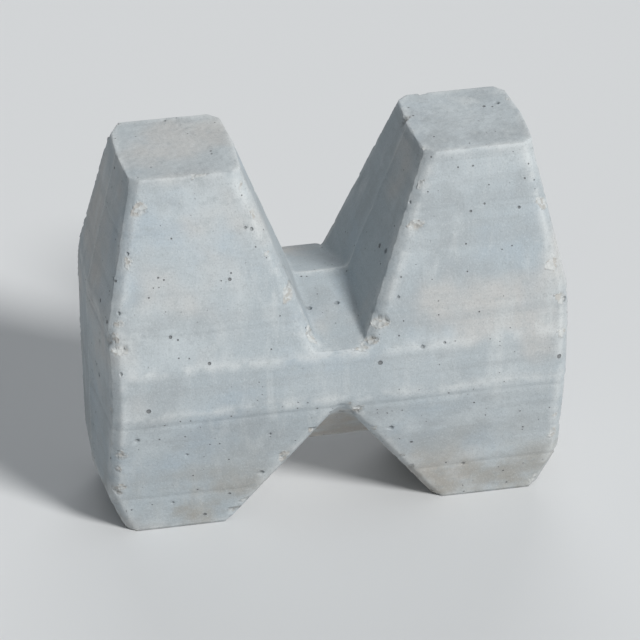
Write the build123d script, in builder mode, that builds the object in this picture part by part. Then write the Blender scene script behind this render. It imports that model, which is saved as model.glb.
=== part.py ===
from build123d import *
import os
from math import radians, tan

# A four-legged concrete armour block, cast in one pour in a mould whose two halves meet on the plane Y = 0.
# Front and back are alike, and so are left and right. The origin is on the ground, under the middle.

# Front view, on the parting plane, in millimetres
block_width = 1500.0        # over the shoulders
block_height = 1250.0       # from the soles to the tips of the upper legs
shoulder_top = 790.0        # the shoulders lean in above this height
shoulder_bottom = 150.0     # and turn under to the soles below this one
tip_gap = 550.0             # clear width between the two upper tips
tip_width = 370.0
sole_gap = 620.0            # clear width between the two soles
sole_width = 380.0

# Upper notch: its floor is a saddle with a level crest on the parting plane and a lip in each face
saddle_width = 170.0        # clear width at the crest
saddle_crest = 765.0
saddle_lip_rise = 15.0      # of the lips above the waist

# Lower notch: its roof slopes down from a lip in each face to a level strip
soffit_width = 300.0        # clear width at the strip
soffit_height = 215.0       # of the strip above the soles
soffit_thickness = 240.0    # of the strip, from front to back
soffit_lip_drop = 20.0      # of the lips below the waist

neck_reach = 300.0          # of the neck between the notches, from the middle into each leg

# Side view: the waist is upright, and each leg gets thinner towards its end
waist_top = 650.0
waist_bottom = 490.0
waist_thickness = 700.0
tip_thickness = 400.0
sole_thickness = 440.0

# Mould
mould_draft = 3.5           # degrees, on every wall that leaves the parting plane
edge_chamfer = 32.0         # strip round the front and back faces

half_width = block_width / 2
saddle_lip = waist_top + saddle_lip_rise
soffit_lip = waist_bottom - soffit_lip_drop
draft_slope = tan(radians(mould_draft))


def along(start, end, height):
    """The value at a height, on the line through two (value, height) points."""
    return start[0] + (end[0] - start[0]) * (height - start[1]) / (end[1] - start[1])


def level_corners(height, inner, outer, thickness):
    """Corners of a level section: ridges on the parting plane, drafted walls, chamfered faces."""
    wall = thickness / 2 - edge_chamfer
    lean = wall * draft_slope
    front_half = [
        (inner, 0),
        (inner + lean, -wall),
        (inner + lean + edge_chamfer, -thickness / 2),
        (outer - lean - edge_chamfer, -thickness / 2),
        (outer - lean, -wall),
        (outer, 0),
    ]
    return [(x, side * y, height) for x, y in front_half for side in (1, -1)]


os.makedirs("parts", exist_ok=True)

with BuildPart() as armour_block:
    # Waist, from shoulder to shoulder
    ConvexPolyhedron(
        level_corners(waist_bottom, -half_width, half_width, waist_thickness)
        + level_corners(waist_top, -half_width, half_width, waist_thickness)
    )

    # Upper leg on the right
    upper_wall = ((saddle_width / 2, saddle_crest), (tip_gap / 2, block_height))
    upper_face = ((waist_thickness, waist_top), (tip_thickness, block_height))
    ConvexPolyhedron(
        level_corners(waist_top, along(*upper_wall, waist_top), half_width, waist_thickness)
        + level_corners(
            shoulder_top, along(*upper_wall, shoulder_top), half_width,
            along(*upper_face, shoulder_top),
        )
        + level_corners(block_height, tip_gap / 2, tip_gap / 2 + tip_width, tip_thickness)
    )

    # Lower leg on the right
    lower_wall = ((soffit_width / 2, soffit_height), (sole_gap / 2, 0))
    lower_face = ((waist_thickness, waist_bottom), (sole_thickness, 0))
    ConvexPolyhedron(
        level_corners(waist_bottom, along(*lower_wall, waist_bottom), half_width, waist_thickness)
        + level_corners(
            shoulder_bottom, along(*lower_wall, shoulder_bottom), half_width,
            along(*lower_face, shoulder_bottom),
        )
        + level_corners(0, sole_gap / 2, sole_gap / 2 + sole_width, sole_thickness)
    )
    mirror(about=Plane.YZ)

    # Neck between the notches, flush with the faces at their lips
    with BuildSketch(Plane.YZ):
        with BuildLine():
            Polyline(
                (0, saddle_crest),
                (along(*upper_face, saddle_lip) / 2, saddle_lip),
                (waist_thickness / 2, waist_top),
                (waist_thickness / 2, waist_bottom),
                (along(*lower_face, soffit_lip) / 2, soffit_lip),
                (soffit_thickness / 2, soffit_height),
                (0, soffit_height),
            )
            mirror(about=Plane.YZ)
        make_face()
    extrude(amount=neck_reach, both=True)

armour_block.part.label = "armour_block"
export_step(armour_block.part, "parts/armour_block.step")
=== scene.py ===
import math
import random

import bmesh
import bpy
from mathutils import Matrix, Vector, noise
from mathutils.kdtree import KDTree


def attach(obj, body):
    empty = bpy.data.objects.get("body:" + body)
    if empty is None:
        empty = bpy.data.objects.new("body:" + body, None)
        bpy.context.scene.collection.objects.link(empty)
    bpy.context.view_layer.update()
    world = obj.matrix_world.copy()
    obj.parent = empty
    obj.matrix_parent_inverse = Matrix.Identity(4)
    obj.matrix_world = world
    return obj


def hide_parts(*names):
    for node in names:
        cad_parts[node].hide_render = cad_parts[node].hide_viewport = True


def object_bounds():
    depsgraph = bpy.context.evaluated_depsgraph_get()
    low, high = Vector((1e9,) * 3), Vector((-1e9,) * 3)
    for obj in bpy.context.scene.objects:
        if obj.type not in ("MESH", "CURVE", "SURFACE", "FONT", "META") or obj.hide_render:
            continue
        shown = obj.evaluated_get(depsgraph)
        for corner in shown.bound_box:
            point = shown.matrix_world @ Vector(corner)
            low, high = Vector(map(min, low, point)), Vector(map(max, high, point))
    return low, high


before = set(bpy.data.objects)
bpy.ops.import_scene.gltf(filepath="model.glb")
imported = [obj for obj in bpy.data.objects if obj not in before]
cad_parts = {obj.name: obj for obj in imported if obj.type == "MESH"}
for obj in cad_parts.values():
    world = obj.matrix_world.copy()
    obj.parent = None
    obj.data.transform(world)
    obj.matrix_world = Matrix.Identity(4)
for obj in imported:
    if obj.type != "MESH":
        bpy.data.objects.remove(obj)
cad_low, cad_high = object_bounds()


# Armour block: one piece of plain concrete with four tapered legs, cast in a steel mould of two halves.
# It is struck from the mould, lifted by its saddle and dropped into place, so its arrises are worn and
# chipped, and its skin shows air holes, lift lines and the ragged seam where the mould halves met.

random.seed(41)

same_point = 0.0002             # corners of the solid closer than this are one
flat_turn = math.radians(0.6)   # faces that turn less than this are one face
arris_turn = math.radians(9)    # edges that turn more than this are arrises
keen_turn = math.radians(28)    # and where they turn more than this, they chip
arris_round = 0.005
point_step = 0.01               # between the points that mark the arrises
voxel = 0.0064
kept_share = 0.46               # of the faces, once the flat skin is thinned out


def made_real(block):
    """Makes the block's modifiers part of its mesh."""
    depsgraph = bpy.context.evaluated_depsgraph_get()
    block.data = bpy.data.meshes.new_from_object(block.evaluated_get(depsgraph))
    block.modifiers.clear()


def worn_block(node):
    """A merged copy of the node with rounded arrises and an even skin of small faces."""
    bm = bmesh.new()
    bm.from_mesh(node.data)
    bmesh.ops.remove_doubles(bm, verts=bm.verts, dist=same_point)
    bmesh.ops.dissolve_limit(bm, angle_limit=flat_turn, verts=bm.verts, edges=bm.edges)
    arrises = [
        (e.verts[0].co.copy(), e.verts[1].co.copy(), e.calc_face_angle_signed())
        for e in bm.edges
        if e.is_manifold and e.calc_face_angle_signed() > arris_turn
    ]
    sharp = [e for e in bm.edges if e.is_manifold and e.calc_face_angle() > arris_turn]
    bmesh.ops.bevel(
        bm, geom=sharp, offset=arris_round, offset_type="OFFSET", affect="EDGES",
        segments=2, profile=0.5, material=-1, clamp_overlap=True,
    )
    bmesh.ops.triangulate(bm, faces=bm.faces)
    mesh = bpy.data.meshes.new("cast_block")
    bm.to_mesh(mesh)
    bm.free()
    block = bpy.data.objects.new("cast_block", mesh)
    bpy.context.scene.collection.objects.link(block)
    remesh = block.modifiers.new("skin", "REMESH")
    remesh.mode = "VOXEL"
    remesh.voxel_size = voxel
    remesh.use_smooth_shade = True
    made_real(block)
    return block, arrises


def points_along(edges):
    """Points at an even step along the edges."""
    points = []
    for start, end, angle in edges:
        count = max(2, round((end - start).length / point_step))
        points += [start.lerp(end, i / count) for i in range(count + 1)]
    return points


def tree_of(points):
    """A tree that finds the numbers of the points near a place."""
    tree = KDTree(len(points))
    for i, point in enumerate(points):
        tree.insert(point, i)
    tree.balance()
    return tree


def finer_round(bm, holes):
    """Splits the faces round each air hole, so that its rim comes out round."""
    centres = tree_of([face.calc_center_median() for face in bm.faces])
    bm.faces.ensure_lookup_table()
    edges = set()
    for site, radius in holes:
        for co, k, d in centres.find_range(site, radius * rim_reach):
            edges.update(bm.faces[k].edges)
    bmesh.ops.subdivide_edges(bm, edges=list(edges), cuts=2, use_grid_fill=True)
    bm.verts.index_update()


def fade(distance, reach):
    """1 at no distance, down to 0 at the reach and beyond."""
    return max(0.0, 1.0 - distance / reach)


def uneven(point, scale, shift=(0, 0, 0)):
    """Smooth noise about 0 at the point."""
    return noise.noise(point * scale + Vector(shift))


block, arrises = worn_block(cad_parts["armour_block"])
arris_tree = tree_of(points_along(arrises))
keen_points = points_along([edge for edge in arrises if edge[2] > keen_turn])

hole_count = 80
hole_radii = (0.004, 0.005, 0.005, 0.006, 0.007, 0.009)
rim_reach = 1.25                # as a share of the radius

bm = bmesh.new()
bm.from_mesh(block.data)
bm.verts.ensure_lookup_table()
holes = []
for i in range(hole_count):
    site = bm.verts[random.randrange(len(bm.verts))].co.copy()
    holes.append((site, random.choice(hole_radii)))
finer_round(bm, holes)
bm.normal_update()
arris_nearness = bm.verts.layers.float.new("arris")
broken = bm.verts.layers.float.new("chip")
hollow = bm.verts.layers.float.new("hole")
bm.verts.ensure_lookup_table()
rest = [v.co.copy() for v in bm.verts]
normals = [v.normal.copy() for v in bm.verts]
surface = tree_of(rest)

# Skin: slightly wavy between the ribs of the mould, marked where one lift of fresh concrete met the next,
# with a ragged fin on the parting plane and rubbed arrises
skin_depth = 0.003              # of the waves
lift_height = 0.31
lift_start = 0.14               # height of the lowest lift line
lift_wander = 0.012             # of a line, up and down
lift_line = 0.011               # half the width of a line
lift_depth = 0.0022
parting_y = 0.0
fin_width = 0.008               # on each side of the parting plane
fin_depth = 0.0035              # of the skin beside the fin
end_depth = 0.012               # below the tips, where the fin was struck off
pale_edge_reach = 0.03               # of the pale wear and painted edge highlight, from an arris
rubbed_reach = 0.02
rubbed_depth = 0.004

for v in bm.verts:
    p = rest[v.index]
    near = arris_tree.find(p)[2]
    v[arris_nearness] = fade(near, pale_edge_reach)
    wave = 0.5 + 0.5 * uneven(p, 2.4)
    ripple = 0.5 + 0.5 * uneven(p, 11.0, (7, 3, 1))
    depth = skin_depth * (0.55 * wave + 0.45 * ripple)
    height = p.z + lift_wander * noise.noise(Vector((p.x * 3, p.y * 3, 5)))
    depth += lift_depth * fade(abs(height % lift_height - lift_start), lift_line)
    if abs(normals[v.index].y) < 0.5 and p.z < cad_high.z - end_depth:
        fin = fade(abs(p.y - parting_y), fin_width)
        depth += fin_depth - fin_depth * fin * min(1.0, max(0.0, 0.8 + 0.9 * uneven(p, 17.0)))
    rubbed = fade(near, rubbed_reach) * (0.4 + 0.6 * uneven(p, 5.0, (2, 9, 4)))
    depth += rubbed_depth * max(0.0, rubbed)
    v.co = p - normals[v.index] * depth

# Chips: flat scars that cut an arris, larger at the ends of the legs
chip_count = 160
chip_radii = (0.011, 0.025)
chip_depths = (0.10, 0.26)      # as shares of the radius
chip_reach = 1.6                # as a share of the radius
chip_tilt = 0.22
chip_sink = 0.0015              # of the stony floor, below a flat cut
end_growth = (1.0, 1.8)
tip_zone = 0.03
sole_zone = 0.05

for i in range(chip_count):
    centre = random.choice(keen_points)
    at_end = centre.z > cad_high.z - tip_zone or centre.z < sole_zone
    radius = random.uniform(*chip_radii) * (random.uniform(*end_growth) if at_end else 1.0)
    found = surface.find_range(centre, radius * chip_reach)
    outward = sum((normals[k] for co, k, d in found), Vector()).normalized()
    outward = (outward + Vector([random.gauss(0, chip_tilt) for axis in "xyz"])).normalized()
    depth = radius * random.uniform(*chip_depths)
    seat = centre - outward * depth
    for co, k, d in found:
        v = bm.verts[k]
        proud = (v.co - seat).dot(outward)
        if proud > 0:
            rough = 0.0022 * uneven(co, 70.0) + 0.0015 * uneven(co, 160.0)
            v.co -= outward * (proud + chip_sink + rough)
            v[broken] = 1.0

# Largest air holes, caught against the steel
hole_depth = 0.7                # as a share of a half ball
hole_shade = 0.5

for site, radius in holes:
    inward = -normals[surface.find(site)[1]]
    for co, k, d in surface.find_range(site, radius):
        v = bm.verts[k]
        v.co += inward * hole_depth * math.sqrt(max(0.0, radius * radius - d * d))
        # the hole attribute holds how strongly painted shade darkens the hole in the shader
        v[hollow] = min(hole_shade, 1.2 * fade(d, radius))

# Poured ends of the upper legs: struck off by hand, so they are coarser and sag a little. The soles are flat.
end_sag = 0.004
sole_depth = 0.004

for v in bm.verts:
    p = rest[v.index]
    if p.z > cad_high.z - end_depth and normals[v.index].z > 0.6:
        sag = 0.2 + 0.8 * min(1.0, (1.0 - v[arris_nearness]) * 1.5)
        v.co.z -= sag * (end_sag + 0.003 * uneven(p, 14.0) + 0.0018 * uneven(p, 60.0))
    if p.z < sole_depth:
        v.co.z = 0.0

bm.to_mesh(block.data)
bm.free()

# Flat skin needs few faces: they are thinned out there and kept where the block is broken
block.modifiers.new("thinned", "DECIMATE").ratio = kept_share
made_real(block)
for v in block.data.vertices:
    v.co.x = min(max(v.co.x, cad_low.x), cad_high.x)
    v.co.y = min(max(v.co.y, cad_low.y), cad_high.y)
    v.co.z = min(max(v.co.z, cad_low.z), cad_high.z)
block.data.shade_smooth()

concrete = bpy.data.materials.new("cast_concrete")
concrete.use_nodes = True
nodes = concrete.node_tree.nodes
links = concrete.node_tree.links
shader = nodes["Principled BSDF"]
place = nodes.new("ShaderNodeTexCoord").outputs["Object"]


def mapped(shift, stretch=(1, 1, 1)):
    """The block's own coordinates, stretched and then moved."""
    node = nodes.new("ShaderNodeMapping")
    node.inputs["Scale"].default_value = stretch
    node.inputs["Location"].default_value = shift
    links.new(place, node.inputs["Vector"])
    return node.outputs["Vector"]


def clouds(scale, detail, roughness=0.55, distortion=0.0, shift=(0, 0, 0), stretch=(1, 1, 1)):
    """Soft noise from 0 to 1."""
    node = nodes.new("ShaderNodeTexNoise")
    node.inputs["Scale"].default_value = scale
    node.inputs["Detail"].default_value = detail
    node.inputs["Roughness"].default_value = roughness
    node.inputs["Distortion"].default_value = distortion
    links.new(mapped(shift, stretch), node.inputs["Vector"])
    return node.outputs["Fac"]


def cells(scale, shift=(0, 0, 0)):
    """Evenly spread cells: the distance from the middle of each, and random values for each."""
    node = nodes.new("ShaderNodeTexVoronoi")
    node.inputs["Scale"].default_value = scale
    links.new(mapped(shift), node.inputs["Vector"])
    lot = nodes.new("ShaderNodeSeparateColor")
    links.new(node.outputs["Color"], lot.inputs["Color"])
    return node.outputs["Distance"], lot.outputs


def between(value, low, high):
    """0 below low and 1 above high, or the other way where low is the larger."""
    node = nodes.new("ShaderNodeMapRange")
    node.interpolation_type = "SMOOTHSTEP"
    if low < high:
        span, ends = (low, high), (0.0, 1.0)
    else:
        span, ends = (high, low), (1.0, 0.0)
    node.inputs["From Min"].default_value, node.inputs["From Max"].default_value = span
    node.inputs["To Min"].default_value, node.inputs["To Max"].default_value = ends
    links.new(value, node.inputs["Value"])
    return node.outputs["Result"]


def maths(operation, first, second=0.0):
    """One sum on one or two values."""
    node = nodes.new("ShaderNodeMath")
    node.operation = operation
    for socket, value in zip(node.inputs, (first, second)):
        if isinstance(value, (int, float)):
            socket.default_value = value
        else:
            links.new(value, socket)
    return node.outputs["Value"]


def tinted(base, mask, colour, strength):
    """The base colour with another one laid on where the mask is."""
    node = nodes.new("ShaderNodeMix")
    node.data_type = "RGBA"
    links.new(maths("MULTIPLY", mask, strength), node.inputs["Factor"])
    if isinstance(base, tuple):
        node.inputs["A"].default_value = (*base, 1)
    else:
        links.new(base, node.inputs["A"])
    node.inputs["B"].default_value = (*colour, 1)
    return node.outputs["Result"]


def attribute(name):
    """A value stored in the mesh."""
    node = nodes.new("ShaderNodeAttribute")
    node.attribute_name = name
    return node.outputs["Fac"]


xyz = nodes.new("ShaderNodeSeparateXYZ")
links.new(place, xyz.inputs["Vector"])
across = maths("ABSOLUTE", xyz.outputs["X"])
along = maths("ABSOLUTE", xyz.outputs["Y"])
up = xyz.outputs["Z"]

# Cement: grey in clouds, with darker, warmer and cooler patches
dark_cement = (0.395, 0.44, 0.467)
pale_cement = (0.485, 0.527, 0.548)
damp_grey = (0.335, 0.363, 0.38)
warm_grey = (0.53, 0.512, 0.49)
cool_grey = (0.37, 0.45, 0.52)

colour = tinted(dark_cement, between(clouds(1.7, 3), 0.38, 0.62), pale_cement, 0.9)
colour = tinted(colour, between(clouds(5.0, 6, 0.65, shift=(4, 1, 7)), 0.47, 0.66), damp_grey, 0.6)
colour = tinted(colour, between(clouds(2.1, 3, shift=(9, 3, 2)), 0.52, 0.66), warm_grey, 0.65)
colour = tinted(colour, between(clouds(2.6, 4, shift=(1, 8, 5)), 0.52, 0.68), cool_grey, 0.42)

# Pale runs where rain washes lime down the faces, and darker bands along the lifts
lime = (0.57, 0.60, 0.607)
band_grey = (0.345, 0.372, 0.387)

runs = between(clouds(1.6, 5, 0.6, 0.3, shift=(3, 3, 3), stretch=(11, 11, 0.8)), 0.48, 0.70)
runs = maths("MULTIPLY", runs, between(clouds(2.8, 2, shift=(6, 2, 8)), 0.40, 0.62))
colour = tinted(colour, runs, lime, 0.5)
bands = between(clouds(1.3, 4, 0.6, 0.4, shift=(2, 5, 1), stretch=(0.35, 0.35, 9)), 0.48, 0.64)
colour = tinted(colour, bands, band_grey, 0.4)

# Seam on the parting plane, up to the poured ends
pale_seam = (0.60, 0.62, 0.62)

seam = maths("MULTIPLY", between(along, 0.008, 0.001), between(clouds(9.0, 4), 0.40, 0.55))
seam = maths("MULTIPLY", seam, between(up, cad_high.z - 0.008, cad_high.z - 0.014))
colour = tinted(colour, seam, pale_seam, 0.5)

# Brown and darker towards the bottom of the lower legs, in patches
lower_leg_brown = (0.31, 0.275, 0.225)

lower_leg_brown_mask = maths("MULTIPLY", between(up, 0.42, 0.02), between(clouds(4.5, 6, 0.6), 0.40, 0.62))
colour = tinted(colour, lower_leg_brown_mask, lower_leg_brown, 0.62)

# Roof of the lower notch: brown painted shade under the arch, and soil stain from the splashes that it
# shelters
notch_shade_and_soil = (0.36, 0.31, 0.26)
notch_slope = 0.744             # of its side walls, across over up
notch_reach = 0.345             # of the brown shade and soil from the middle, at the level of the soles
notch_edge = 0.05

notch_shade_and_soil_mask = between(
    maths("ADD", across, maths("MULTIPLY", up, notch_slope)), notch_reach, notch_reach - notch_edge,
)
notch_shade_and_soil_mask = maths("MULTIPLY", notch_shade_and_soil_mask, between(clouds(6.0, 5, 0.6, shift=(2, 2, 6)), 0.25, 0.60))
colour = tinted(colour, notch_shade_and_soil_mask, notch_shade_and_soil, 0.7)

# Rubbed arrises, painted pale both as wear and as a highlight along every edge, then the speckle and the sand
# of the cement skin
rubbed_pale_and_highlight = (0.66, 0.68, 0.68)
speckle_grey = (0.35, 0.385, 0.40)
dark_sand = (0.28, 0.30, 0.31)
pale_sand = (0.60, 0.63, 0.64)

arris = maths("MULTIPLY", attribute("arris"), between(clouds(14.0, 4), 0.35, 0.6))
colour = tinted(colour, arris, rubbed_pale_and_highlight, 0.55)
colour = tinted(colour, between(clouds(28.0, 6, 0.65, shift=(5, 5, 2)), 0.52, 0.68), speckle_grey, 0.35)
grain = clouds(190.0, 3, 0.7)
colour = tinted(colour, between(grain, 0.52, 0.70), dark_sand, 0.45)
colour = tinted(colour, between(grain, 0.46, 0.3), pale_sand, 0.35)

# Air holes: small ones in the shader, the largest ones in the mesh; both are darkened inside with painted
# shade
hole_painted_shade = (0.14, 0.145, 0.15)


def air_holes(scale, width, share, shift):
    """Round holes of mixed widths in a share of the cells."""
    distance, lot = cells(scale, shift)
    hole = between(maths("SUBTRACT", distance, maths("MULTIPLY", lot["Green"], width)), 0.06, 0.0)
    return maths("MULTIPLY", hole, maths("LESS_THAN", lot["Red"], share))


pit = maths("MAXIMUM", air_holes(26.0, 0.16, 0.10, (0, 0, 0)), air_holes(62.0, 0.17, 0.12, (3, 1, 2)))
pit = maths("MAXIMUM", pit, attribute("hole"))
colour = tinted(colour, pit, hole_painted_shade, 0.8)

# Broken concrete in the chips: sand and small stones, paler than the skin
broken_pale = (0.58, 0.59, 0.58)
stone_brown = (0.38, 0.36, 0.33)

stone_distance, stone_lot = cells(75.0)
scar = attribute("chip")
colour = tinted(colour, scar, broken_pale, 0.6)
stones = maths("MULTIPLY", scar, between(stone_lot["Red"], 0.62, 0.8))
colour = tinted(colour, stones, stone_brown, 0.6)
links.new(colour, shader.inputs["Base Color"])

roughness = nodes.new("ShaderNodeMapRange")
roughness.inputs["To Min"].default_value = 0.78
roughness.inputs["To Max"].default_value = 0.95
links.new(clouds(7.0, 4), roughness.inputs["Value"])
links.new(roughness.outputs["Result"], shader.inputs["Roughness"])
shader.inputs["Specular IOR Level"].default_value = 0.3

# Relief too fine for the mesh: pits, sand grain, and the stony surface of the chips
relief = maths("MULTIPLY", grain, 0.35)
relief = maths("ADD", relief, maths("MULTIPLY", clouds(48.0, 5, 0.6), 0.8))
relief = maths("SUBTRACT", relief, maths("MULTIPLY", pit, 2.4))
relief = maths("ADD", relief, maths("MULTIPLY", scar, maths("MULTIPLY", stone_distance, 1.6)))
bump = nodes.new("ShaderNodeBump")
bump.inputs["Strength"].default_value = 0.8
bump.inputs["Distance"].default_value = 0.003
links.new(relief, bump.inputs["Height"])
links.new(bump.outputs["Normal"], shader.inputs["Normal"])

for mesh in (block.data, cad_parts["armour_block"].data):
    mesh.materials.clear()
    mesh.materials.append(concrete)
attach(block, "root")
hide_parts("armour_block")


# Floor: a wide pale sheet that runs out of sight, so the block stands in plain surroundings.
# It isn't part of the object.

floor_radius = 40.0
floor_grey = (0.68, 0.69, 0.70)

bm = bmesh.new()
bmesh.ops.create_circle(bm, cap_ends=True, segments=96, radius=floor_radius)
floor_mesh = bpy.data.meshes.new("studio_floor")
bm.to_mesh(floor_mesh)
bm.free()
floor = bpy.data.objects.new("studio_floor", floor_mesh)
bpy.context.scene.collection.objects.link(floor)
floor_paint = bpy.data.materials.new("pale_floor")
floor_paint.use_nodes = True
floor_shader = floor_paint.node_tree.nodes["Principled BSDF"]
floor_shader.inputs["Base Color"].default_value = (*floor_grey, 1)
floor_shader.inputs["Roughness"].default_value = 1.0
floor_shader.inputs["Specular IOR Level"].default_value = 0.05
floor_mesh.materials.append(floor_paint)


# Light and camera: a soft high key from the right and the front, a weaker and softer lamp from behind, sky
# from all round, and a plain pale backdrop that only the camera sees. A long lens looks down on the front of
# the block from a little to its left.

sky_blue = (0.90, 0.955, 1.0)
sky_strength = 0.25
backdrop_grey = (0.62, 0.64, 0.65)

world = bpy.data.worlds.new("studio_sky")
bpy.context.scene.world = world
world.use_nodes = True
sky_nodes = world.node_tree.nodes
sky_links = world.node_tree.links
sky = sky_nodes["Background"]
sky.inputs["Color"].default_value = (*sky_blue, 1)
sky.inputs["Strength"].default_value = sky_strength
backdrop = sky_nodes.new("ShaderNodeBackground")
backdrop.inputs["Color"].default_value = (*backdrop_grey, 1)
backdrop.inputs["Strength"].default_value = 1.0
seen = sky_nodes.new("ShaderNodeLightPath")
either = sky_nodes.new("ShaderNodeMixShader")
sky_links.new(seen.outputs["Is Camera Ray"], either.inputs[0])
sky_links.new(sky.outputs["Background"], either.inputs[1])
sky_links.new(backdrop.outputs["Background"], either.inputs[2])
sky_links.new(either.outputs["Shader"], sky_nodes["World Output"].inputs["Surface"])


def turned_to(target, spot):
    """The turn of a lamp or a camera at the spot that points at the target."""
    return (target - spot).to_track_quat("-Z", "Y").to_euler()


def soft_lamp(name, spot, strength, colour, softness):
    """A distant lamp that shines from the spot on the middle of the block."""
    data = bpy.data.lights.new(name, "SUN")
    data.energy = strength
    data.color = colour
    data.angle = math.radians(softness)
    lamp = bpy.data.objects.new(name, data)
    lamp.location = spot
    lamp.rotation_euler = turned_to(Vector((0, 0, 0.6)), Vector(spot))
    bpy.context.scene.collection.objects.link(lamp)


soft_lamp("key", spot=(8.5, -14.0, 13.5), strength=2.95, colour=(1.0, 0.995, 0.98), softness=13)
soft_lamp("fill", spot=(3.0, 13.0, 7.0), strength=1.0, colour=(1.0, 1.0, 1.0), softness=40)

target = Vector((0.0, 0.0, 0.575))
azimuth = math.radians(-12)
elevation = math.radians(30)
distance = 13.0
camera_data = bpy.data.cameras.new("view")
camera_data.sensor_width = 36
camera_data.lens = 230
camera_data.clip_end = 200
camera = bpy.data.objects.new("view", camera_data)
bpy.context.scene.collection.objects.link(camera)
camera.location = target + distance * Vector((
    math.sin(azimuth) * math.cos(elevation),
    -math.cos(azimuth) * math.cos(elevation),
    math.sin(elevation),
))
camera.rotation_euler = turned_to(target, camera.location)
bpy.context.scene.camera = camera

bpy.context.scene.view_settings.view_transform = "Standard"
